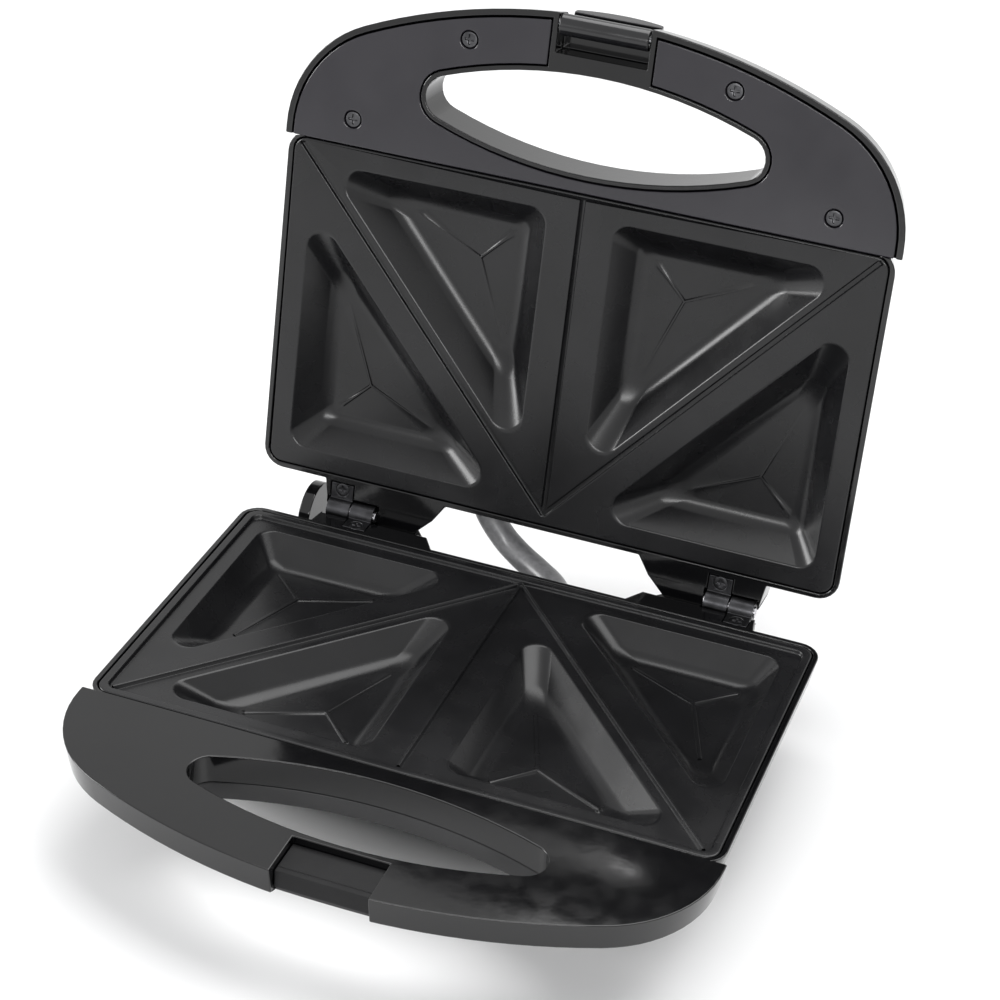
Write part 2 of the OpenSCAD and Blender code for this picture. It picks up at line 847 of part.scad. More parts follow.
// Columns on the side walls for the bottom cover's screws
module base_columns() {
    difference() {
        intersection() {
            tub(1, half_gap, side_h);
            union() {
                four_corners(cover_screw_x, cover_screw_y)
                    post(column_r, side_h - column_h, side_h);
                both_sides()
                    for (y = [-1, 1])
                        translate([
                            cover_screw_x, y * cover_screw_y - column_web / 2, -side_h
                        ])
                            cube([shell_w / 2 - cover_screw_x, column_web, column_h]);
            }
        }
        four_corners(cover_screw_x, cover_screw_y)
            post(screw_r + run_fit, side_h - column_h + 1, side_h + 1);
    }
}

// Columns in the grip that take its cover's screws, with blind holes
module grip_columns(top, low, hole_top, hole_low) {
    both_sides()
        for (p = grip_screws)
            translate([p[0], p[1], 0])
                difference() {
                    post(column_r, top, low);
                    post(screw_r + run_fit, hole_top, hole_low);
                }
}

// ---- Under the lower shell ----

module base_bottom_cover() {
    color([0.06, 0.06, 0.065]) place() {
        difference() {
            tub(0, cover_top, shell_h);
            tub(wall, side_h - 1, floor_z);
            four_corners(foot_x, foot_y) {
                post(foot_r + seam, shell_h - foot_sink, shell_h + 1);
                post(foot_stem_r, floor_z - 1, shell_h + 1);
            }
            four_corners(cover_screw_x, cover_screw_y) {
                post(screw_r + run_fit, side_h - 1, shell_h + 1);
                post(screw_head_r + seam, cover_seat, shell_h + 1);
            }
            bottom_vents();
        }
        difference() {
            four_corners(cover_screw_x, cover_screw_y)
                post(screw_head_r + seam + 1.6, cover_top, shell_h - 0.5);
            four_corners(cover_screw_x, cover_screw_y) {
                post(screw_r + run_fit, side_h - 1, shell_h + 1);
                post(screw_head_r + seam, cover_seat, shell_h + 1);
            }
        }
        cover_lip();
        // pillars under the cord clamp
        for (x = [-1, 1])
            translate([gland_x + x * clamp_leg, clamp_bar_y, 0])
                difference() {
                    post(clamp_bar_d / 2 + 0.4, clamp_seat, floor_z + 1);
                    post(screw_r + run_fit, clamp_seat - 1, floor_z - 1);
                }
    }
}

// Upright lip that locates the cover between the housing's walls
module cover_lip() {
    inset = edge_in + wall + cover_fit;
    intersection() {
        difference() {
            loft([shell_ring(inset, floor_z + 1), shell_ring(inset, side_h - 3)]);
            loft([shell_ring(inset + 1.5, shell_h), shell_ring(inset + 1.5, side_h - 4)]);
        }
        translate([0, 0, -shell_h])
            linear_extrude(shell_h) {
                square([2 * (cover_screw_x - 10), shell_w], center = true);
                square([shell_w, 2 * (cover_screw_y - 10)], center = true);
            }
    }
}

module bottom_vents() {
    for (i = [-3 : 3], y = [-22, 22])
        if (i > -2 || y < 0)
            translate([i * 14 - 1.5, y - 9, -shell_h - 1]) cube([3, 18, skin + 2]);
}

module base_feet() {
    color([0.08, 0.08, 0.08]) place()
        four_corners(foot_x, foot_y) {
            difference() {
                post(foot_r, shell_h - foot_sink + touch, shell_h + foot_h);
                post(foot_r - 3, shell_h + foot_h - 1.2, shell_h + foot_h + 1);
            }
            post(foot_stem_r - run_fit, floor_z - 0.6, shell_h);
            post(foot_head_r, floor_z - 2, floor_z - touch);
        }
}

module base_cover_screws() {
    color([0.55, 0.55, 0.56]) place()
        four_corners(cover_screw_x, cover_screw_y)
            translate([0, 0, -cover_seat - touch])
                screw(screw_r, cover_seat - side_h + column_h - 2, screw_head_r, screw_head_h);
}

// ---- Lower grip ----

module base_grip_cover() {
    top = band_h + seam;
    color([0.06, 0.06, 0.065]) place() {
        difference() {
            grip(0, top, grip_t, -seam);
            difference() {
                grip(wall, top - 1, grip_t - wall, -seam - wall, wall);
                finger_hole(hole_wall, 0, grip_t + 1);
                both_sides()
                    for (p = grip_screws)
                        translate([p[0], p[1], 0]) post(column_r + 1, top, grip_t);
            }
            finger_hole(0, -1, grip_t + 1);
            both_sides()
                for (p = grip_screws)
                    translate([p[0], p[1], 0]) {
                        post(screw_r + run_fit, top - 1, grip_t + 1);
                        post(screw_head_r + seam, grip_seat, grip_t + 1);
                    }
            translate([-keeper_x, -2 * grip_reach, -grip_t - 1])
                cube([2 * keeper_x, 2 * grip_reach + keeper_relief, grip_t + 2]);
        }
    }
}

module base_grip_screws() {
    color([0.55, 0.55, 0.56]) place()
        both_sides()
            for (p = grip_screws)
                translate([p[0], p[1], -grip_seat - touch])
                    screw(screw_r, 8, screw_head_r, screw_head_h);
}

// Insert that the clip's lip catches under
module latch_keeper() {
    w = 2 * (keeper_x - seam);
    color([0.2, 0.2, 0.21]) place() {
        translate([-w / 2, keeper_front, -keeper_low])
            cube([w, keeper_back - seam - keeper_front, keeper_low - keeper_top]);
        translate([-w / 2, keeper_relief, -band_h - seam + touch])
            cube([w, keeper_back - seam - keeper_relief, band_h + seam - keeper_top]);
    }
}

// ---- Lower plate and what heats it ----

module lower_plate() {
    color([0.14, 0.14, 0.145]) place()
        difference() {
            plate_body();
            difference() {
                translate([0, 0, -face_z])
                    linear_extrude(face_z + 1)
                        round_rect(plate_w - 2 * rim_w, plate_d - 2 * rim_w, plate_r - rim_w / 2);
                cutting_lines(ridge_w, -1, slab_low);
            }
        }
}

module lower_heating_element() {
    color([0.45, 0.42, 0.4]) place() heating_element();
}

module lower_element_clamps() {
    color([0.7, 0.7, 0.72]) place() element_clamps();
}

module lower_heat_shield() {
    color([0.75, 0.75, 0.76]) place() heat_shield();
}

module lower_shield_screws() {
    color([0.6, 0.6, 0.62]) place() shield_screws();
}

module lower_plate_screws() {
    color([0.6, 0.6, 0.62]) place() plate_screws();
}

module thermostat() {
    top = slab_low + pad_h + touch;
    color([0.75, 0.72, 0.65]) place() translate([0, thermostat_y, 0]) {
        post(thermostat_r - 1.5, slab_low + touch, top + 1);
        difference() {
            union() {
                translate([-thermostat_screw_x, -post_r, -top - 1])
                    cube([2 * thermostat_screw_x, 2 * post_r, 1]);
                for (x = [-1, 1])
                    translate([x * thermostat_screw_x, 0, 0]) post(post_r, top, top + 1);
            }
            for (x = [-1, 1])
                translate([x * thermostat_screw_x, 0, 0])
                    post(pad_screw_r + run_fit, top - 1, top + 2);
        }
        post(thermostat_r, top + 0.5, slab_low + thermostat_h);
        for (x = [-1, 1])
            translate([x * 4 - 0.4, 0, -slab_low - thermostat_h - 1])
                cube([0.8, thermostat_r + 4, 4]);
    }
}

module thermostat_screws() {
    color([0.6, 0.6, 0.62]) place()
        for (x = [-1, 1])
            translate([
                x * thermostat_screw_x, thermostat_y, -slab_low - pad_h - 1 - 2 * touch
            ])
                screw(pad_screw_r, pad_h + 2, 2.2, 1.2);
}

// Thermal fuse lying against the plate, with its two wires
module thermal_fuse() {
    color([0.8, 0.75, 0.6]) place() translate([0, 0, -slab_low - 2 - touch]) {
        translate([0, -57, 0]) bar_y(2, 11);
        translate([0, -61, 0]) bar_y(0.5, 19);
    }
}

module terminal_block() {
    color([0.85, 0.84, 0.8]) place() translate([terminal_at[0], terminal_at[1], -floor_z + touch])
        difference() {
            translate([-15, -8, 0]) cube([30, 16, 10]);
            for (x = [-9.5, 0, 9.5]) {
                translate([x, -9, 5]) bar_y(1.6, 18);
                for (y = [-4.5, 4.5]) translate([x, y, 5]) cylinder(r = 1.7, h = 6, $fn = 32);
            }
            for (x = [-4.75, 4.75]) translate([x - 0.5, -9, 7]) cube([1, 18, 4]);
        }
}

module lower_wires() {
    block_z = -floor_z + 5;
    y = thermostat_y;
    routes = [
        [[-50.5, 24, block_z], [-50.5, 28.5, block_z], [-44, 33, -26.5], [-30, 37, -25],
            [-10, y + 4, -24.6], [-4.5, y + 10, -21.5], [-4, y + 15, -15.5],
            [-4, y + 12.8, -12.2]],
        [[4, y + 12.8, -12.2], [3, y + 15, -14.8], [0, y + 10.5, -17.5], [1.8, y + 4, -17.3],
            [5.2, element_y, -element_z]],
        [[-60, 12, block_z], [-60, 7.5, block_z], [-54, 3, -28], [-35, 8, -26.5],
            [-5, 30, -25.5], [8, y + 6, -24.5], [13, shell_back - 17, -18.5],
            [11.5, shell_back - 12, -12.5], [base_lead_x, shell_back - 9.6, -base_lead_z]]
    ];
    color([0.7, 0.2, 0.15]) place() for (p = routes) sweep(smooth_route(p, 5), wire_r, 8);
}

// ---- Supply cord entry ----

module cord_gland() {
    color([0.05, 0.05, 0.05]) place() translate([gland_x, gland_face, -gland_z])
        difference() {
            union() {
                translate([0, -gland_l, 0]) bar_y(gland_neck_r, gland_l + touch);
                translate([0, touch, 0]) bar_y(gland_r, gland_stand);
            }
            translate([0, -gland_l - 1, 0]) bar_y(cord_hole_r, gland_l + gland_stand + 2);
        }
}

module cord_clamp() {
    color([0.8, 0.78, 0.72]) place()
        translate([gland_x, clamp_bar_y - clamp_bar_d / 2, 0])
            difference() {
                union() {
                    translate([-6.4, 0, -clamp_seat + touch])
                        cube([12.8, clamp_bar_d, clamp_seat - gland_z + 6]);
                    translate([-clamp_leg - 3.4, 0, -clamp_seat + touch])
                        cube([2 * (clamp_leg + 3.4), clamp_bar_d, 4]);
                }
                translate([0, -1, -gland_z]) bar_y(cord_hole_r + seam, clamp_bar_d + 2);
                translate([-cord_hole_r - seam, -1, -clamp_seat - 1])
                    cube([2 * (cord_hole_r + seam), clamp_bar_d + 2, clamp_seat + 1 - gland_z]);
                for (x = [-1, 1])
                    translate([x * clamp_leg, clamp_bar_d / 2, 0])
                        post(screw_r + run_fit, gland_z - 8, clamp_seat + 1);
            }
}

module cord_clamp_screws() {
    color([0.6, 0.6, 0.62]) place()
        for (x = [-1, 1])
            translate([gland_x + x * clamp_leg, clamp_bar_y, -clamp_seat + 4 + 2 * touch])
                screw_down(screw_r, 9, 2.4, screw_head_h);
}

// ---- Hinges on the lower shell ----

module base_hinge_leaves() {
    color([0.3, 0.3, 0.31]) place() hinge_leaves(1);
}

module base_hinge_screws() {
    color([0.35, 0.35, 0.36]) place() hinge_screws(1);
}

module hinge_pins() {
    color([0.5, 0.5, 0.52]) place()
        for (x = [-1, 1])
            translate([x * hinge_x, hinge_y, 0]) bar_x(pin_r, 2 * knuckle_l + 1.6);
}

// Collar round the link lead where it passes a boss
module lead_grommet(x, depth) {
    translate([x, shell_back, -depth])
        difference() {
            union() {
                translate([0, -6, 0]) bar_y(grommet_neck_r, 6 + touch);
                translate([0, touch, 0]) bar_y(grommet_r, grommet_stand);
            }
            translate([0, -7, 0]) bar_y(lead_r + lead_fit, grommet_stand + 8);
        }
}

module base_lead_grommet() {
    color([0.04, 0.04, 0.04]) place() lead_grommet(base_lead_x, base_lead_z);
}

// ---- Upper shell ----

module lid_housing() {
    color([0.05, 0.05, 0.055]) open_lid() {
        difference() {
            union() {
                tub(0, half_gap, shell_h);
                grip(0, half_gap, grip_t, wall - seam);
                lid_ears();
                rear_boss(lid_lead_x, lid_lead_z, shell_back);
            }
            tub(wall, -1, floor_z);
            plate_seat();
            difference() {
                union() {
                    grip(skin, -1, grip_t - wall, -touch, wall);
                    grip(cover_rim - cover_gap, -1, half_gap + cover_t + touch, wall);
                }
                finger_hole(hole_wall, -2, grip_t + 1);
                bridge(0);
            }
            finger_hole(0, -1, grip_t + 1);
            clip_room();
            rear_hole(lid_lead_x, lid_lead_z, grommet_neck_r + run_fit);
            both_sides()
                translate([lens_x, lens_y, 0]) post(lens_r + run_fit, floor_z - 1, shell_h + 1);
        }
        plate_lugs();
        intersection() {
            grip(1, half_gap, grip_t, 0);
            grip_columns(half_gap + cover_t + 2, grip_t, 0, 11.5);
        }
    }
}

// Middle of the upper grip's open side, round the clip
module bridge(grow) {
    translate([-bridge_x - grow, -2 * grip_reach, -grip_t - 1])
        cube([2 * (bridge_x + grow), 2 * grip_reach + bridge_y, grip_t + 2]);
}

// Room for the clip: a slot through the grip's edge, a pocket behind it, the pin's hole
module clip_room() {
    translate([-keeper_x, -2 * grip_reach, -grip_t - 1])
        cube([2 * keeper_x, 2 * grip_reach + slot_back, grip_t + 2]);
    translate([-keeper_x, -2 * grip_reach, -clip_pocket_h])
        cube([2 * keeper_x, 2 * grip_reach + clip_pocket_back, clip_pocket_h + 1]);
    translate([0, clip_y, clip_z]) bar_x(clip_pin_r + run_fit, 2 * bridge_x + 2);
}

module lid_ears() {
    difference() {
        both_sides() ear(lid_ear_back);
        knuckle_slots();
        leaf_cuts(-1);
    }
}

module lid_grip_cover() {
    color([0.07, 0.07, 0.075]) open_lid()
        difference() {
            union() {
                grip(cover_rim, half_gap, half_gap + cover_t, wall - seam);
                both_sides()
                    for (p = grip_screws)
                        translate([p[0], p[1], 0])
                            post(column_r, half_gap, half_gap + cover_t + 1.8);
            }
            finger_hole(hole_wall + 0.5, -1, grip_t);
            bridge(0.5);
            both_sides()
                for (p = grip_screws)
                    translate([p[0], p[1], 0]) {
                        post(screw_head_r + 0.5, -1, cover_t);
                        post(screw_r + run_fit, -1, grip_t);
                    }
        }
}

module lid_grip_screws() {
    color([0.7, 0.7, 0.72]) open_lid()
        both_sides()
            for (p = grip_screws)
                translate([p[0], p[1], -cover_t + touch])
                    screw_down(screw_r, 8, screw_head_r, screw_head_h);
}

module upper_plate() {
    color([0.14, 0.14, 0.145]) open_lid()
        difference() {
            plate_body();
            cutting_lines(groove_w, -1, half_gap + groove_h);
        }
}

module upper_heating_element() {
    color([0.45, 0.42, 0.4]) open_lid() heating_element();
}

module upper_element_clamps() {
    color([0.7, 0.7, 0.72]) open_lid() element_clamps();
}

module upper_heat_shield() {
    color([0.75, 0.75, 0.76]) open_lid() heat_shield();
}

module upper_shield_screws() {
    color([0.6, 0.6, 0.62]) open_lid() shield_screws();
}

module upper_plate_screws() {
    color([0.6, 0.6, 0.62]) open_lid() plate_screws();
}

module upper_wires() {
    y = shell_back - 9.8;
    top = -lid_lead_z;
    lamp_z = -floor_z + 4.6;
    routes = [
        [[lid_lead_x + 1, y, top - 2], [-20, y - 7.2, -18.5], [-12, element_y + 8, -18.5],
            [-4, element_y + 5.5, -17.8], [-1.6, element_y + 2, -17.4],
            [-5.2, element_y, -element_z]],
        [[lid_lead_x + 3, y, top], [-14, y - 4.2, -17], [0, y - 7.2, -18],
            [4, element_y + 6, -18], [1.8, element_y + 2, -17.5], [5.2, element_y, -element_z]],
        [[lid_lead_x - 3, y, top], [-27, y - 7.2, -20], [-24, y - 16.2, -26], [-16, 10, -29],
            [-lens_x, -18, -28], [-lens_x, lens_y + 1, -28], [-lens_x, lens_y, lamp_z]],
        [[lid_lead_x - 1.5, y, top - 3], [-20, y - 8.2, -24], [-10, y - 16.2, -27], [0, 10, -29],
            [lens_x, -18, -28], [lens_x, lens_y + 1, -28], [lens_x, lens_y, lamp_z]]
    ];
    color([0.7, 0.2, 0.15]) open_lid() for (p = routes) sweep(smooth_route(p, 5), wire_r, 8);
}

module lid_hinge_leaves() {
    color([0.3, 0.3, 0.31]) open_lid() hinge_leaves(-1);
}

module lid_hinge_screws() {
    color([0.35, 0.35, 0.36]) open_lid() hinge_screws(-1);
}

module lid_lead_grommet() {
    color([0.04, 0.04, 0.04]) open_lid() lead_grommet(lid_lead_x, lid_lead_z);
}

// Lens: a tube with a flange inside the lid and a low domed face outside
module lens() {
    difference() {
        union() {
            post(lens_r, floor_z - 2, shell_h + lens_dome);
            post(lens_r + lens_flange, floor_z - 2, floor_z - touch);
        }
        post(lamp_r + 0.4, floor_z - 3, shell_h);
    }
}

module power_lens() {
    color([0.75, 0.08, 0.05]) open_lid() translate([-lens_x, lens_y, 0]) lens();
}

module ready_lens() {
    color([0.1, 0.55, 0.15]) open_lid() translate([lens_x, lens_y, 0]) lens();
}

module indicator_lamps() {
    color([0.9, 0.8, 0.7]) open_lid()
        both_sides() translate([lens_x, lens_y, 0]) post(lamp_r, floor_z - 4, shell_h - 0.5);
}

// ---- Clip ----

module clip_pin() {
    color([0.6, 0.6, 0.62]) open_lid()
        translate([0, clip_y, clip_z]) bar_x(clip_pin_r, 2 * bridge_x - 0.4);
}

module latch_clip() {
    color([0.05, 0.05, 0.055]) open_lid()
        translate([0, clip_y, clip_z]) rotate([clip_deg, 0, 0])
            difference() {
                union() {
                    bar_x(clip_bar_r, clip_w);
                    translate([-clip_w / 2, -clip_bar_r, 0]) cube([clip_w, clip_t, clip_reach]);
                    translate([-clip_w / 2, -clip_bar_r, clip_reach - clip_t])
                        cube([clip_w, clip_bar_r + clip_lip, clip_t]);
                    pull();
                }
                bar_x(clip_pin_r + run_fit, clip_w + 2);
            }
}

// Bowed pull for a finger, past the lip
module pull() {
    intersection() {
        translate([0, -clip_bar_r, clip_reach + clip_pull - pull_r])
            bar_y(pull_r, clip_bar_r + clip_lip);
        translate([-clip_w / 2, -clip_bar_r - 1, clip_reach - touch])
            cube([clip_w, clip_bar_r + clip_lip + 2, clip_pull + 1]);
    }
}

// ---- Lead between the shells ----

module link_lead() {
    route = [
        [-25, 16.715, 16.9], [-25, 15.974, 12], [-25, 15.067, 6], [-25, 14.9, 4.9],
        [-21.8, 14.4, 0.5], [-16.5, 13.4, -4.8], [-9.5, 11, -8.5], [-1.5, 7, -10.4],
        [6, 1.5, -11], [10.2, -4, -11], [11, -8, -11], [11, -8.8, -11], [11, -20, -11]
    ];
    color([0.06, 0.06, 0.06]) place() translate([0, hinge_y, 0])
        sweep(smooth_route(route, 5), lead_r, 12);
}

base_housing();
base_bottom_cover();
base_grip_cover();
base_feet();
base_cover_screws();
base_grip_screws();
latch_keeper();
lower_plate();
lower_heating_element();
lower_element_clamps();
lower_heat_shield();
lower_shield_screws();
lower_plate_screws();
thermostat();
thermostat_screws();
thermal_fuse();
terminal_block();
lower_wires();
cord_gland();
cord_clamp();
cord_clamp_screws();
base_hinge_leaves();
base_hinge_screws();
base_lead_grommet();
lid_housing();
lid_grip_cover();
lid_grip_screws();
upper_plate();
upper_heating_element();
upper_element_clamps();
upper_heat_shield();
upper_shield_screws();
upper_plate_screws();
upper_wires();
lid_hinge_leaves();
lid_hinge_screws();
hinge_pins();
lid_lead_grommet();
power_lens();
ready_lens();
indicator_lamps();
clip_pin();
latch_clip();
link_lead();
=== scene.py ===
"""Looks of an open sandwich toaster, built round its packed construction model.

The housings, covers, hinges and screws are bevelled copies of the frame's nodes.
The two coated plates and the link lead are modelled here.
Lengths are metres. Plate places are worked out in millimetres from the plates' centre,
with X to the right, Y to the back and depth below the joint plane, then moved into place.
"""
import json
import math

import bmesh
import bpy
from mathutils import Matrix, Vector
from mathutils.geometry import delaunay_2d_cdt

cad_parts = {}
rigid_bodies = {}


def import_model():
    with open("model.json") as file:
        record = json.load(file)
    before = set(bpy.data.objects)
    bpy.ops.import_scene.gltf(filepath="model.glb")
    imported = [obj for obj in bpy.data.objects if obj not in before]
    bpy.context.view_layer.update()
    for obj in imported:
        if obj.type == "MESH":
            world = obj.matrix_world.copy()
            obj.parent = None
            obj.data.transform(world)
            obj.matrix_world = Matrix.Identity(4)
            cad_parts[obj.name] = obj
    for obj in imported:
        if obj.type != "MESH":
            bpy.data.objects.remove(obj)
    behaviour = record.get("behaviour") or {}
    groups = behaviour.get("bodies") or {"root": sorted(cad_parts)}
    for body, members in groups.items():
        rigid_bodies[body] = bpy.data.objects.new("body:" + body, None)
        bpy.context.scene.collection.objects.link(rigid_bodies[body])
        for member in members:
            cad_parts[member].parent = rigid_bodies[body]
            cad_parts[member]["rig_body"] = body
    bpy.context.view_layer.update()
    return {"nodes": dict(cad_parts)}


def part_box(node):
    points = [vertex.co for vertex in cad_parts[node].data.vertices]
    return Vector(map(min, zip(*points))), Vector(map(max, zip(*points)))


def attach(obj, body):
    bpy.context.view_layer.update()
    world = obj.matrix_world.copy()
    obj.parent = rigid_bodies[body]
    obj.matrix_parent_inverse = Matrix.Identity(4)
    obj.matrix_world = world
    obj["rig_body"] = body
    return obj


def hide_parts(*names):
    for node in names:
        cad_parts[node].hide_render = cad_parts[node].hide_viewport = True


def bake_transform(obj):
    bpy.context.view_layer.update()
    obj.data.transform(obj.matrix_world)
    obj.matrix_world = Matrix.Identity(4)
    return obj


MM = 0.001
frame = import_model()
scene = bpy.context.scene

# The joint plane's height and the plates' middle, from the frame
plate_low, plate_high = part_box("lower_plate")
HALF_GAP = 0.2                  # between a plate's rim and the joint plane
JOINT = Vector((0, (plate_low.y + plate_high.y) / 2, plate_high.z + HALF_GAP * MM))
HINGE_Y = 77                    # from the plates' middle back to the hinge line
OPEN_DEG = 98.6


# ---- Camera ----

CAMERA_AZIMUTH = 18.13          # degrees
CAMERA_ELEVATION = 31.77
CAMERA_ROLL = 3.94
CAMERA_DISTANCE = 0.86328       # metres
CAMERA_TARGET = JOINT + Vector((0.00921, 0, 0.07124))
SENSOR_WIDTH = 36               # millimetres
LENS = 93.62


def make_camera():
    """The camera stands high at the front right, and leans a little to one side."""
    azimuth, elevation, roll = (
        math.radians(angle) for angle in (CAMERA_AZIMUTH, CAMERA_ELEVATION, CAMERA_ROLL)
    )
    back = Vector((
        math.sin(azimuth) * math.cos(elevation),
        -math.cos(azimuth) * math.cos(elevation),
        math.sin(elevation),
    ))
    level = (-back).cross(Vector((0, 0, 1))).normalized()
    upright = level.cross(-back)
    right = level * math.cos(roll) + upright * math.sin(roll)
    up = upright * math.cos(roll) - level * math.sin(roll)
    data = bpy.data.cameras.new("camera")
    data.sensor_width = SENSOR_WIDTH
    data.lens = LENS
    camera = bpy.data.objects.new("camera", data)
    scene.collection.objects.link(camera)
    turn = Matrix((right, up, back)).transposed().to_4x4()
    camera.matrix_world = Matrix.Translation(CAMERA_TARGET + back * CAMERA_DISTANCE) @ turn
    scene.camera = camera


make_camera()


# ---- Meshes ----

CREASE = 32                     # degrees past which an edge is rounded or kept sharp
BEVEL_SEGMENTS = 2
FLAT = 0.3                      # degrees within which faces count as one plane
NORMAL_WEIGHT = 60              # how far large faces outweigh small ones in the shading
SAME_PLACE = 0.002 * MM         # vertices this near are one vertex


def new_object(name, shape, finish):
    """Makes an object of a bmesh, at the origin."""
    mesh = bpy.data.meshes.new(name)
    shape.normal_update()
    for face in shape.faces:
        face.smooth = True
    shape.to_mesh(mesh)
    shape.free()
    mesh.materials.append(finish)
    made = bpy.data.objects.new(name, mesh)
    scene.collection.objects.link(made)
    return made


def even_shading(made):
    """Large faces keep their own direction beside rounded edges."""
    weighted = made.modifiers.new("even shading", "WEIGHTED_NORMAL")
    weighted.weight = NORMAL_WEIGHT
    weighted.keep_sharp = True
    weighted.use_face_influence = True


def sharpen(shape, degrees):
    """Marks edges between faces that meet at more than this angle as sharp."""
    for edge in shape.edges:
        if len(edge.link_faces) == 2:
            edge.smooth = edge.calc_face_angle(0) < math.radians(degrees)


def merge_flat(shape):
    """Joins flat faces where both sides of an edge lie in one plane."""
    bmesh.ops.dissolve_limit(
        shape, angle_limit=math.radians(FLAT), verts=[], edges=shape.edges
    )
    wide = [f for f in shape.faces if len(f.verts) > 4]
    bmesh.ops.triangulate(shape, faces=wide)


def dress(node, finish, bevel):
    """A copy of a CAD node that stands for it, with its edges rounded if bevel isn't 0."""
    source = frame["nodes"][node]
    shape = bmesh.new()
    shape.from_mesh(source.data)
    bmesh.ops.remove_doubles(shape, verts=shape.verts, dist=SAME_PLACE)
    merge_flat(shape)
    bmesh.ops.recalc_face_normals(shape, faces=shape.faces)
    if not bevel:
        sharpen(shape, CREASE)
    made = new_object(node + "_finish", shape, finish)
    if bevel:
        rounding = made.modifiers.new("rounding", "BEVEL")
        rounding.width = bevel * MM
        rounding.segments = BEVEL_SEGMENTS
        rounding.limit_method = "ANGLE"
        rounding.angle_limit = math.radians(CREASE)
        rounding.use_clamp_overlap = False
        rounding.loop_slide = False
        rounding.face_strength_mode = "FSTR_ALL"
    even_shading(made)
    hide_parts(node)
    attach(made, source["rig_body"])
    return made


# ---- Link lead ----

def smooth_route(points, steps):
    """Points along a smooth line through the given ones."""
    route = []
    for i in range(len(points) - 1):
        a, b = points[max(i - 1, 0)], points[i]
        c, d = points[i + 1], points[min(i + 2, len(points) - 1)]
        m, n = (c - a) / 2, (d - b) / 2
        for k in range(steps):
            t = k / steps
            route.append(
                b * (2 * t ** 3 - 3 * t ** 2 + 1) + m * (t ** 3 - 2 * t ** 2 + t)
                + c * (3 * t ** 2 - 2 * t ** 3) + n * (t ** 3 - t ** 2)
            )
    return route + [points[-1]]


def join_rings(shape, rings):
    """Faces between each closed ring of vertices and the next one, which has as many."""
    for outer, inner in zip(rings, rings[1:]):
        for k in range(len(outer)):
            shape.faces.new((outer[k - 1], outer[k], inner[k], inner[k - 1]))


def tube(route, radius, sides):
    """A closed round tube along a route, with rings that don't twist."""
    shape = bmesh.new()
    rings = []
    for i, place in enumerate(route):
        along = (route[min(i + 1, len(route) - 1)] - route[max(i - 1, 0)]).normalized()
        across = along.cross(OFF_ROUTE).normalized()
        turns = (Matrix.Rotation(2 * math.pi * k / sides, 3, along) for k in range(sides))
        rings.append([shape.verts.new(place + turn @ across * radius) for turn in turns])
    join_rings(shape, rings)
    shape.faces.new(rings[0])
    shape.faces.new(rings[-1])
    bmesh.ops.recalc_face_normals(shape, faces=shape.faces)
    return shape


HINGE = JOINT + Vector((0, HINGE_Y * MM, 0))
# The lead's route in metres, from the lid's boss to the base's, from the hinge line
LEAD_ROUTE = [
    (-0.025, 0.016715, 0.0169), (-0.025, 0.015974, 0.012), (-0.025, 0.015067, 0.006),
    (-0.025, 0.0149, 0.0049), (-0.0218, 0.0144, 0.0005), (-0.0165, 0.0134, -0.0048),
    (-0.0095, 0.011, -0.0085), (-0.0015, 0.007, -0.0104), (0.006, 0.0015, -0.011),
    (0.0102, -0.004, -0.011), (0.011, -0.008, -0.011), (0.011, -0.0088, -0.011),
    (0.011, -0.02, -0.011),
]
LEAD_DIAMETER = 0.010
LEAD_STEPS = 6                  # points of the tube to each stretch of the route
LEAD_SIDES = 32
OFF_ROUTE = Vector((0.31, 0.17, 0.94))  # a direction that no part of the lead runs along


# ---- Finishes ----

COAT_ROUGHNESS = 0.05
MARK_DEPTH = 0.01               # of the fine marks on bare metal
FINISHES = {}                   # each finish's material by the finish's name


class Wire:
    """An output of a shader node, so that sums on it read as plain Python."""

    def __init__(self, nodes, socket):
        self.nodes = nodes
        self.socket = socket

    def maths(self, operation, other):
        return self.nodes.add("ShaderNodeMath", {"operation": operation}, {0: self, 1: other})

    def __add__(self, other):
        return self.maths("ADD", other)

    def __mul__(self, other):
        return self.maths("MULTIPLY", other)

    __radd__ = __add__
    __rmul__ = __mul__

    def between(self, low, high):
        """0 below low, 1 above high, with a soft change between."""
        return self.nodes.add(
            "ShaderNodeMapRange", {"interpolation_type": "SMOOTHSTEP"},
            {"Value": self, "From Min": low, "From Max": high}, "Result"
        )


class Nodes:
    """The shader nodes of a finish or of the surroundings."""

    def __init__(self, tree):
        self.tree = tree

    def put(self, value, socket):
        """Gives a socket a value, or links a wire to it."""
        if isinstance(value, Wire):
            self.tree.links.new(value.socket, socket)
        else:
            socket.default_value = value

    def add(self, kind, settings, sockets, result=0):
        """A new node with its settings, then its sockets' values or wires."""
        node = self.tree.nodes.new(kind)
        for name, value in settings.items():
            setattr(node, name, value)
        for name, value in sockets.items():
            self.put(value, node.inputs[name])
        return Wire(self, node.outputs[result])


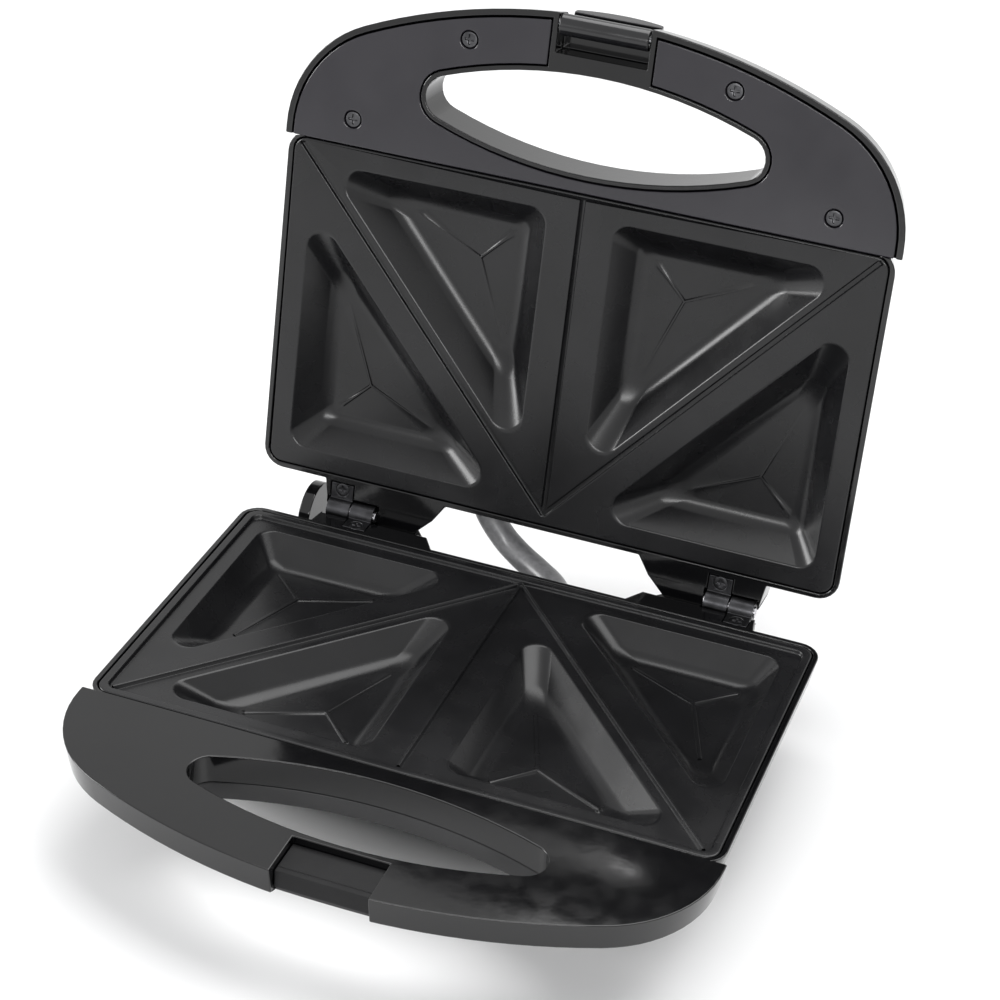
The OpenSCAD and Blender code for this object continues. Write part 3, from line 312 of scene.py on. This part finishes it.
class Finish(Nodes):
    """A procedural material under construction."""

    def __init__(self, name, metallic=0.0, coat=0.0, specular=0.5):
        self.material = bpy.data.materials.new(name)
        self.material.use_nodes = True
        FINISHES[name] = self.material
        super().__init__(self.material.node_tree)
        self.surface = self.tree.nodes["Principled BSDF"].inputs
        self.put(metallic, self.surface["Metallic"])
        self.put(coat, self.surface["Coat Weight"])
        self.put(COAT_ROUGHNESS, self.surface["Coat Roughness"])
        self.put(specular, self.surface["Specular IOR Level"])
        self.place = self.add("ShaderNodeTexCoord", {}, {}, "Object")

    def noise(self, size, detail=3.0, stretch=(1, 1, 1)):
        """Soft noise whose lumps are about this many millimetres."""
        place = self.add(
            "ShaderNodeMapping", {}, {"Vector": self.place, "Scale": stretch}, "Vector"
        )
        return self.add(
            "ShaderNodeTexNoise", {},
            {"Vector": place, "Scale": 1 / (size * MM), "Detail": detail}, "Fac"
        )

    def colour(self, share, dark, light):
        mix = self.add(
            "ShaderNodeMix", {"data_type": "RGBA"},
            {"Factor": share, "A": (*dark, 1), "B": (*light, 1)}, "Result"
        )
        self.put(mix, self.surface["Base Color"])

    def roughness(self, share, low, high):
        self.put(share * (high - low) + low, self.surface["Roughness"])

    def bump(self, height, depth):
        """Height from 0 to 1 stands for this many millimetres."""
        normal = self.add(
            "ShaderNodeBump", {}, {"Height": height, "Distance": depth * MM, "Strength": 1},
            "Normal"
        )
        self.put(normal, self.surface["Normal"])


def plastic(name, dark, light, smooth, rough, grain, grain_depth, coat=0.0, specular=0.5):
    """Moulded plastic: a slow change of tone, and a fine grain in its surface."""
    made = Finish(name, coat=coat, specular=specular)
    tone = made.noise(38, detail=2)
    made.colour(tone.between(0.35, 0.65), dark, light)
    made.roughness(made.noise(9).between(0.3, 0.7), smooth, rough)
    made.bump(made.noise(grain, detail=2), grain_depth)


def metal(name, dark, light, smooth, rough, stretch=(1, 1, 1)):
    """Bare metal with fine marks, which run along a direction if stretched."""
    made = Finish(name, metallic=1.0)
    marks = made.noise(0.6, detail=4, stretch=stretch)
    made.colour(made.noise(6).between(0.3, 0.7), dark, light)
    made.roughness(marks.between(0.3, 0.7), smooth, rough)
    made.bump(marks, MARK_DEPTH)


def coating(name):
    """Non-stick coating: nearly black, satin, with a very fine stipple and paler flecks."""
    made = Finish(name, specular=0.39)
    fleck = made.noise(0.35, detail=2).between(0.62, 0.72)
    tone = made.noise(30, detail=3).between(0.3, 0.7)
    made.colour(tone * 0.6 + fleck * 0.4, (0.0045, 0.0045, 0.005), (0.0095, 0.0095, 0.0105))
    made.roughness(made.noise(14).between(0.3, 0.7), 0.24, 0.29)
    made.bump(made.noise(0.5, detail=3), 0.012)


def lead_sleeve(name):
    """Grey satin sleeve, a little mottled."""
    made = Finish(name, specular=0.6)
    made.colour(made.noise(2, detail=2).between(0.3, 0.7), (0.16, 0.16, 0.165), (0.21, 0.21, 0.215))
    made.roughness(made.noise(4).between(0.3, 0.7), 0.28, 0.36)
    made.bump(made.noise(0.8, detail=2), 0.02)


# Name, darkest and palest colour, least and most roughness, and for a plastic the size and
# depth of its grain in millimetres
plastic("shell", (0.0022, 0.0022, 0.0026), (0.0034, 0.0034, 0.0038), 0.07, 0.12, 7.0, 0.02)
plastic("under_shell", (0.012, 0.012, 0.013), (0.018, 0.018, 0.019), 0.42, 0.5, 0.5, 0.03)
plastic("foot_rubber", (0.018, 0.018, 0.018), (0.028, 0.028, 0.028), 0.6, 0.75, 0.8, 0.05)
plastic("keeper_plastic", (0.003, 0.003, 0.0035), (0.0045, 0.0045, 0.005),
        0.5, 0.58, 0.6, 0.03, specular=0.25)
coating("coated_plate")
metal("element_sheath", (0.22, 0.19, 0.17), (0.38, 0.34, 0.31), 0.4, 0.6)
metal("bright_steel", (0.5, 0.5, 0.52), (0.62, 0.62, 0.64), 0.22, 0.38, stretch=(0.1, 1, 1))
metal("shield_metal", (0.68, 0.68, 0.69), (0.8, 0.8, 0.81), 0.2, 0.35, stretch=(0.1, 1, 1))
metal("fuse_body", (0.5, 0.42, 0.25), (0.62, 0.54, 0.34), 0.3, 0.45)
plastic("pale_plastic", (0.66, 0.64, 0.56), (0.74, 0.72, 0.65), 0.45, 0.55, 1.0, 0.02)
plastic("wire_sleeve", (0.34, 0.03, 0.02), (0.42, 0.05, 0.035), 0.4, 0.5, 0.8, 0.02)
plastic("soft_black", (0.012, 0.012, 0.012), (0.02, 0.02, 0.02), 0.4, 0.55, 0.6, 0.03)
metal("hinge_steel", (0.035, 0.035, 0.037), (0.06, 0.06, 0.064), 0.3, 0.45)
metal("dark_screw", (0.045, 0.045, 0.048), (0.08, 0.08, 0.084), 0.3, 0.42)
lead_sleeve("lead_sleeve")
plastic("grip_cover", (0.014, 0.013, 0.017), (0.019, 0.0178, 0.022), 0.1, 0.16, 9.0, 0.02)
metal("bright_screw", (0.45, 0.45, 0.46), (0.6, 0.6, 0.61), 0.25, 0.4)
plastic("lamp_glass", (0.8, 0.74, 0.66), (0.85, 0.8, 0.74), 0.1, 0.2, 2.0, 0.01)
plastic("red_lens", (0.35, 0.012, 0.01), (0.42, 0.02, 0.015), 0.06, 0.12, 2.0, 0.01, coat=0.4)
plastic("green_lens", (0.02, 0.26, 0.05), (0.03, 0.33, 0.07), 0.06, 0.12, 2.0, 0.01, coat=0.4)
plastic("clip_plastic", (0.006, 0.006, 0.007), (0.009, 0.009, 0.01), 0.12, 0.2, 2.5, 0.01)


# ---- Link lead, made before the rest so that its route is settled first ----

def make_lead():
    """The lead, a tube that bends along its route between the two halves."""
    route = smooth_route([HINGE + Vector(p) for p in LEAD_ROUTE], LEAD_STEPS)
    length = sum((b - a).length for a, b in zip(route, route[1:]))
    shape = tube(route, LEAD_DIAMETER / 2, LEAD_SIDES)
    sharpen(shape, CREASE)
    lead = new_object("link_lead_sleeve", shape, FINISHES["lead_sleeve"])
    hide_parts("link_lead")
    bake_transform(lead)


make_lead()


# ---- Plates ----

PLATE_W = (plate_high.x - plate_low.x) / MM
PLATE_D = (plate_high.y - plate_low.y) / MM
PLATE_R = 5                     # corners of a plate
RIM_W = 3                       # of the lower plate's raised rim
RIM_H = 1.5
FACE = HALF_GAP + RIM_H         # depth of the lower plate's face
PLATE_T = 2.4                   # thickness of a plate
SLAB_LOW = FACE + PLATE_T       # depth of a plate's underside
POCKET_DEPTH = 10
POCKET_RUN = 8                  # how far a pocket's wall slopes inwards
POCKET_R = 4.5                  # corners of a pocket where its wall ends
CORNER_SPREAD = 2.16            # how far its corners widen towards its upper edge
POCKET_MARGIN = 9               # from the plate's edge to its pockets
MIDDLE_MARGIN = 13.5            # from the middle line to the inner pockets
INNER_MARGIN = 4.5              # from a diagonal to the inner pocket beside it
OUTER_MARGIN = 12               # from a diagonal to the outer pocket beside it
LIP_R = 1.1                     # rounding along a pocket's upper edge
EDGE_R = 0.6                    # rounding along a plate's own edges
# Ends of a diagonal cutting line: in a front corner, and at the middle of the back
FOOT = Vector((PLATE_W / 2 - 3.5, -PLATE_D / 2 + 2))
TOP = Vector((0, PLATE_D / 2 - 4))
# Rings over a rim's top and at its foot: place from its width, depth, loss of corner radius
RIM_TOP = ((-0.45, 0, 1.6), (-0.15, 0.13, 1.75), (0, 0.42, 1.8))
RIM_FOOT = ((0.12, -0.35, 1.85), (0.3, -0.08, 1.9), (0.6, 0, 2))
# Across a cutting line: place from half its width, and share of its height there
LINE_PROFILE = ((0.4, 0), (0.22, 0.1), (-0.12, 0.92), (-0.32, 1))
ON_LINE = 0.01                  # a vertex this near a line lies on it
MARK_FLARE = 0.4                # slope on each side of the mark on a pocket's floor
MARK_FALL = 0.75                # share of its height that the mark loses towards its ends
UPRIGHT = 0.05                  # an upright face's direction has no more height than this
UNDER_SLAB = 0.05               # what reaches lower than this past a plate hangs under it
PLATE_MERGE = 0.004             # vertices of a plate this near are one vertex
PLATE_CREASE = 50               # degrees past which a plate's edge is kept sharp
LIP_STEPS = 5
FLOOR_STEPS = 8
EDGE_STEPS = 3
CORNER_STEPS = 10
WHOLE_HULL = 0                  # triangles fill all that lies between the points
SAME_POINT = 1e-6


def pocket_triangles():
    """Corners of the four pockets, each counter-clockwise from above."""
    slope = (TOP - FOOT).length / (TOP.y - FOOT.y)

    def diagonal_x(y, by):
        return FOOT.x * (TOP.y - y) / (TOP.y - FOOT.y) + by

    def diagonal_y(x, by):
        return TOP.y - (x - by) * (TOP.y - FOOT.y) / FOOT.x

    x, y = PLATE_W / 2 - POCKET_MARGIN, PLATE_D / 2 - POCKET_MARGIN
    shift = OUTER_MARGIN * slope
    outer = [(x, y), (diagonal_x(y, shift), y), (x, diagonal_y(x, shift))]
    x, y = MIDDLE_MARGIN, -PLATE_D / 2 + POCKET_MARGIN
    shift = INNER_MARGIN * slope
    inner = [(x, y), (diagonal_x(y, -shift), y), (x, diagonal_y(x, -shift))]
    found = []
    for corners in (outer, inner):
        for side in (1, -1):
            t = [Vector((side * p[0], p[1])) for p in corners]
            u, v = t[1] - t[0], t[2] - t[0]
            found.append(t if u.cross(v) > 0 else [t[0], t[2], t[1]])
    return found


def incircle(t):
    """Middle and radius of a triangle's inscribed circle."""
    lengths = [(t[1] - t[2]).length, (t[2] - t[0]).length, (t[0] - t[1]).length]
    middle = sum((p * s for p, s in zip(t, lengths)), Vector((0, 0))) / sum(lengths)
    return middle, abs((t[1] - t[0]).cross(t[2] - t[0])) / sum(lengths)


def triangle_ring(t, inset, r):
    """Outline of a triangle drawn in by an inset, with round corners."""
    middle, reach = incircle(t)
    k = 1 - (inset + r) / reach
    ring = []
    for i in range(3):
        before = (t[i] - t[i - 1]).normalized()
        after = (t[(i + 1) % 3] - t[i]).normalized()
        centre = middle + (t[i] - middle) * k
        start = math.atan2(-before.x, before.y)
        turn = (math.atan2(-after.x, after.y) - start) % (2 * math.pi)
        for j in range(CORNER_STEPS + 1):
            a = start + turn * j / CORNER_STEPS
            ring.append(centre + Vector((r * math.cos(a), r * math.sin(a))))
    return ring


def round_rect_ring(inset, r):
    """Outline of the plate drawn in by an inset, counter-clockwise from above."""
    w, d = PLATE_W / 2 - inset, PLATE_D / 2 - inset
    corners = ((w - r, d - r, 0), (r - w, d - r, 90), (r - w, r - d, 180), (w - r, r - d, 270))
    ring = []
    for x, y, start in corners:
        for j in range(CORNER_STEPS + 1):
            a = math.radians(start + 90 * j / CORNER_STEPS)
            ring.append(Vector((x + r * math.cos(a), y + r * math.sin(a))))
    return ring


def inside(point, ring):
    """True if a point lies inside a closed outline."""
    found = False
    for a, b in zip(ring, ring[1:] + ring[:1]):
        if (a.y > point.y) != (b.y > point.y):
            if point.x < a.x + (point.y - a.y) * (b.x - a.x) / (b.y - a.y):
                found = not found
    return found


def strip(a, b, half):
    """Rectangle round the line from a to b, as four corners."""
    along = (b - a).normalized()
    side = Vector((-along.y, along.x)) * half
    return [a - side, b - side, b + side, a + side]


def line_distance(point, a, b):
    """Distance of a point from a line, as (across it, past its ends)."""
    along = (b - a).normalized()
    run = (point - a).dot(along)
    across = abs((point - a).cross(along))
    past = max(-run, run - (b - a).length, 0)
    return across, past


class PlateShape:
    """Collects a plate's coated face in millimetres, with depth below the joint plane."""

    def __init__(self):
        self.shape = bmesh.new()

    def walls(self, outlines, depths):
        """Faces from each outline at its depth to the next one."""
        join_rings(self.shape, [
            [self.shape.verts.new((p.x, p.y, -depth)) for p in outline]
            for outline, depth in zip(outlines, depths)
        ])

    def sheet(self, outline, holes, lines, depth_at):
        """Triangles inside an outline and outside the holes, which follow the lines."""
        points, edges = [], []
        for loop in (outline, *holes, *lines):
            first = len(points)
            points += loop
            edges += [(first + k, first + (k + 1) % len(loop)) for k in range(len(loop))]
        places, _, triangles, *_ = delaunay_2d_cdt(points, edges, [], WHOLE_HULL, SAME_POINT)
        verts = {}
        for corners in triangles:
            middle = sum((places[c] for c in corners), Vector((0, 0))) / len(corners)
            if not inside(middle, outline) or any(inside(middle, hole) for hole in holes):
                continue
            for c in corners:
                if c not in verts:
                    p = places[c]
                    verts[c] = self.shape.verts.new((p.x, p.y, -depth_at(p)))
            self.shape.faces.new([verts[c] for c in corners])


def pocket_profile(level, floor_r):
    """Inset and depth of the rings from the face down to the floor of a pocket."""
    slope = math.atan2(POCKET_DEPTH, POCKET_RUN)
    start = (level - FACE) * POCKET_RUN / POCKET_DEPTH
    tangent = LIP_R * math.tan(slope / 2)
    rings = [
        (start - tangent + LIP_R * math.sin(a), level + LIP_R * (1 - math.cos(a)))
        for a in (slope * k / LIP_STEPS for k in range(LIP_STEPS + 1))
    ]
    tangent = floor_r * math.tan(slope / 2)
    floor = FACE + POCKET_DEPTH
    rings += [
        (POCKET_RUN + tangent - floor_r * math.sin(a),
         floor - floor_r * (1 - math.cos(a)))
        for a in (slope * (1 - k / FLOOR_STEPS) for k in range(FLOOR_STEPS + 1))
    ]
    return rings


def pocket_radius(inset):
    """Corner radius of a pocket's ring, which narrows towards the floor."""
    return POCKET_R + CORNER_SPREAD * (POCKET_RUN - inset) / (POCKET_RUN + CORNER_SPREAD)


def edge_rings(level, rim):
    """Inset, depth and corner radius of the rings from a plate's underside to its face."""
    rings = [(0, SLAB_LOW, PLATE_R), (0, HALF_GAP + EDGE_R, PLATE_R)]
    for k in range(1, EDGE_STEPS + 1):
        a = math.pi / 2 * k / EDGE_STEPS
        inward = EDGE_R * (1 - math.cos(a))
        rings.append((inward, HALF_GAP + EDGE_R * (1 - math.sin(a)), PLATE_R - inward))
    if rim:
        rings += [(RIM_W + to, HALF_GAP + down, PLATE_R - less) for to, down, less in RIM_TOP]
        rings += [(RIM_W + to, level + down, PLATE_R - less) for to, down, less in RIM_FOOT]
    return rings


def add_pocket(plate, corners, profile, arm_share, arm_half, arm_h):
    """Walls of a pocket, and its floor with a raised mark of three arms.

    The arms run from the floor's middle towards its corners. The pocket's outline in the
    plate's face is returned.
    """
    outlines = [triangle_ring(corners, inset, pocket_radius(inset)) for inset, depth in profile]
    plate.walls(outlines, [depth for inset, depth in profile])
    middle = incircle(corners)[0]
    arms = [(middle, middle + (corner - middle) * arm_share) for corner in corners]
    marks = [strip(a, b, half) for a, b in arms for half in (arm_half + MARK_FLARE, arm_half)]

    def depth_at(point):
        height = 0
        for a, b in arms:
            across, past = line_distance(point, a, b)
            if past <= ON_LINE and across < arm_half + ON_LINE:
                run = (point - middle).length / (b - a).length
                height = max(height, arm_h * (1 - MARK_FALL * run))
        return FACE + POCKET_DEPTH - height

    plate.sheet(outlines[-1], [], marks, depth_at)
    return outlines[0]


def face_outwards(shape):
    """Turns each face up, or away from the plate's middle where it stands upright."""
    for face in shape.faces:
        face.normal_update()
        middle = face.calc_center_median()
        outward = Vector((middle.x / PLATE_W, middle.y / PLATE_D, 0))
        up = face.normal.z if abs(face.normal.z) > UPRIGHT else face.normal.dot(outward)
        if up < 0:
            face.normal_flip()


def make_plate_face(level, line_width, line_depth, floor_r, rim, **mark):
    """The coated face of a plate, as a bmesh in plate millimetres."""
    plate = PlateShape()
    rings = edge_rings(level, rim)
    outlines = [round_rect_ring(inset, r) for inset, depth, r in rings]
    plate.walls(outlines, [depth for inset, depth, r in rings])
    profile = pocket_profile(level, floor_r)
    holes = [add_pocket(plate, corners, profile, **mark) for corners in pocket_triangles()]
    cuts = [(Vector((side * FOOT.x, FOOT.y)), TOP) for side in (0, 1, -1)]
    lines = [strip(a, b, line_width / 2 + to) for a, b in cuts for to, share in LINE_PROFILE]

    def depth_at(point):
        height = 0
        for a, b in cuts:
            across, past = line_distance(point, a, b)
            if past <= ON_LINE:
                near = across - line_width / 2 - ON_LINE
                height = max([height] + [share for to, share in LINE_PROFILE if near < to])
        return level + line_depth * height

    plate.sheet(outlines[-1], holes, lines, depth_at)
    bmesh.ops.remove_doubles(plate.shape, verts=plate.shape.verts, dist=PLATE_MERGE)
    face_outwards(plate.shape)
    return plate.shape


def add_underside(shape, node, to_plate):
    """Adds what lies below the coated face from the CAD node: bulges, posts and holes."""
    under = bmesh.new()
    under.from_mesh(frame["nodes"][node].data)
    under.transform(to_plate)
    bmesh.ops.remove_doubles(under, verts=under.verts, dist=SAME_PLACE / MM)
    bmesh.ops.recalc_face_normals(under, faces=under.faces)
    extra = [
        face for face in under.faces
        if face.normal.z > UPRIGHT
        or (abs(face.normal.z) <= UPRIGHT
            and min(v.co.z for v in face.verts) > -SLAB_LOW - UNDER_SLAB)
    ]
    bmesh.ops.delete(under, geom=extra, context="FACES")
    mesh = bpy.data.meshes.new("underside")
    under.to_mesh(mesh)
    under.free()
    shape.from_mesh(mesh)
    bpy.data.meshes.remove(mesh)


def open_lid(degrees):
    """Turns plate millimetres of the closed lid, depth up, into the open lid's place."""
    axis = Vector((0, HINGE_Y, 0))
    turn = Matrix.Rotation(math.radians(-degrees), 4, "X")
    mirror = Matrix.Diagonal((1, 1, -1, 1))
    return Matrix.Translation(axis) @ turn @ Matrix.Translation(-axis) @ mirror


IN_PLACE = Matrix.Translation(JOINT) @ Matrix.Diagonal((MM, MM, MM, 1))


def make_plate(name, node, body, local, **options):
    """A coated plate that stands for its node, with the node's own underside."""
    to_world = IN_PLACE @ local
    shape = make_plate_face(**options)
    add_underside(shape, node, to_world.inverted())
    shape.transform(to_world)
    if to_world.determinant() < 0:
        bmesh.ops.reverse_faces(shape, faces=shape.faces)
    sharpen(shape, PLATE_CREASE)
    made = new_object(name, shape, FINISHES["coated_plate"])
    even_shading(made)
    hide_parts(node)
    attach(made, body)


make_plate("lower_plate_coated", "lower_plate", "base", Matrix.Identity(4),
           level=FACE, line_width=1.2, line_depth=-RIM_H, floor_r=7, rim=True,
           arm_share=0.66, arm_half=0.5, arm_h=0.8)
make_plate("upper_plate_coated", "upper_plate", "lid", open_lid(OPEN_DEG),
           level=HALF_GAP, line_width=1.8, line_depth=1.2, floor_r=7, rim=False,
           arm_share=0.42, arm_half=0.3, arm_h=0.7)


# ---- Dressed pieces ----

# Node, finish, width of its rounded edges in millimetres
DRESSED = (
    ("base_housing", "shell", 0.45),
    ("base_bottom_cover", "under_shell", 0.4),
    ("base_grip_cover", "under_shell", 0.4),
    ("base_feet", "foot_rubber", 0.5),
    ("base_cover_screws", "bright_screw", 0.15),
    ("base_grip_screws", "bright_screw", 0.15),
    ("latch_keeper", "keeper_plastic", 0.3),
    ("lower_heating_element", "element_sheath", 0),
    ("lower_element_clamps", "bright_steel", 0.15),
    ("lower_heat_shield", "shield_metal", 0.15),
    ("lower_shield_screws", "bright_screw", 0.15),
    ("lower_plate_screws", "bright_screw", 0.15),
    ("thermostat", "pale_plastic", 0.2),
    ("thermostat_screws", "bright_screw", 0.15),
    ("thermal_fuse", "fuse_body", 0.15),
    ("terminal_block", "pale_plastic", 0.2),
    ("lower_wires", "wire_sleeve", 0),
    ("cord_gland", "soft_black", 0.3),
    ("cord_clamp", "pale_plastic", 0.2),
    ("cord_clamp_screws", "bright_screw", 0.15),
    ("base_hinge_leaves", "hinge_steel", 0.2),
    ("base_hinge_screws", "dark_screw", 0.12),
    ("base_lead_grommet", "soft_black", 0.3),
    ("lid_housing", "shell", 0.45),
    ("lid_grip_cover", "grip_cover", 0.45),
    ("lid_grip_screws", "dark_screw", 0.15),
    ("upper_heating_element", "element_sheath", 0),
    ("upper_element_clamps", "bright_steel", 0.15),
    ("upper_heat_shield", "shield_metal", 0.15),
    ("upper_shield_screws", "bright_screw", 0.15),
    ("upper_plate_screws", "bright_screw", 0.15),
    ("upper_wires", "wire_sleeve", 0),
    ("lid_hinge_leaves", "hinge_steel", 0.2),
    ("lid_hinge_screws", "dark_screw", 0.12),
    ("hinge_pins", "bright_steel", 0.2),
    ("lid_lead_grommet", "soft_black", 0.3),
    ("power_lens", "red_lens", 0.25),
    ("ready_lens", "green_lens", 0.25),
    ("indicator_lamps", "lamp_glass", 0.2),
    ("clip_pin", "bright_steel", 0.15),
    ("latch_clip", "clip_plastic", 0.5),
)
for node, finish, bevel in DRESSED:
    dress(node, FINISHES[finish], bevel)


# ---- Floor and light ----

FLOOR_HALF = 1.3
FLOOR_BELOW = 0.0002            # keeps the floor clear of the feet
SOFT_LIGHT = 0.38


def make_floor():
    """A pale floor that looks white and keeps the object's shadow."""
    shape = bmesh.new()
    bmesh.ops.create_grid(
        shape, x_segments=1, y_segments=1, size=FLOOR_HALF,
        matrix=Matrix.Translation((0, 0, -FLOOR_BELOW))
    )
    finish = Finish("floor", specular=0.2)
    finish.colour(finish.noise(400, detail=2), (0.86, 0.86, 0.86), (0.88, 0.88, 0.88))
    finish.put(0.8, finish.surface["Roughness"])
    new_object("floor", shape, finish.material)


def make_world():
    """Seen directly or mirrored the surroundings are white; they light more softly."""
    world = bpy.data.worlds.new("studio")
    scene.world = world
    world.use_nodes = True
    nodes = Nodes(world.node_tree)
    nodes.tree.nodes.remove(nodes.tree.nodes["Background"])
    direct = nodes.add("ShaderNodeLightPath", {}, {}, "Is Camera Ray")
    mirrored = nodes.add("ShaderNodeLightPath", {}, {}, "Is Glossy Ray")
    shown = direct.maths("MAXIMUM", mirrored)
    soft = nodes.add(
        "ShaderNodeBackground", {}, {"Color": (0.97, 0.98, 1, 1), "Strength": SOFT_LIGHT}
    )
    seen = nodes.add("ShaderNodeBackground", {}, {"Color": (1, 1, 1, 1)})
    mix = nodes.add("ShaderNodeMixShader", {}, {"Fac": shown, 1: soft, 2: seen})
    nodes.put(mix, nodes.tree.nodes["World Output"].inputs["Surface"])


def make_light(name, place, aim, width, height, power):
    """A flat soft light that points from its place at the aim."""
    data = bpy.data.lights.new(name, "AREA")
    data.shape = "RECTANGLE"
    data.size = width
    data.size_y = height
    data.energy = power
    light = bpy.data.objects.new(name, data)
    scene.collection.objects.link(light)
    light.location = place
    light.rotation_euler = (Vector(aim) - Vector(place)).to_track_quat("-Z", "Y").to_euler()


make_floor()
make_world()
make_light("overhead", (0.25, 0.5, 1.45), (0, 0, 0.1), 1.7, 1.3, 27)
make_light("left", (-1.25, -0.36, 0.5), (0, 0.1, 0.15), 0.6, 0.5, 14)
make_light("front", (0.25, -1.6, 0.75), (0, 0.1, 0.15), 1.2, 0.25, 16)


# ---- End ----

scene.view_settings.view_transform = "Standard"
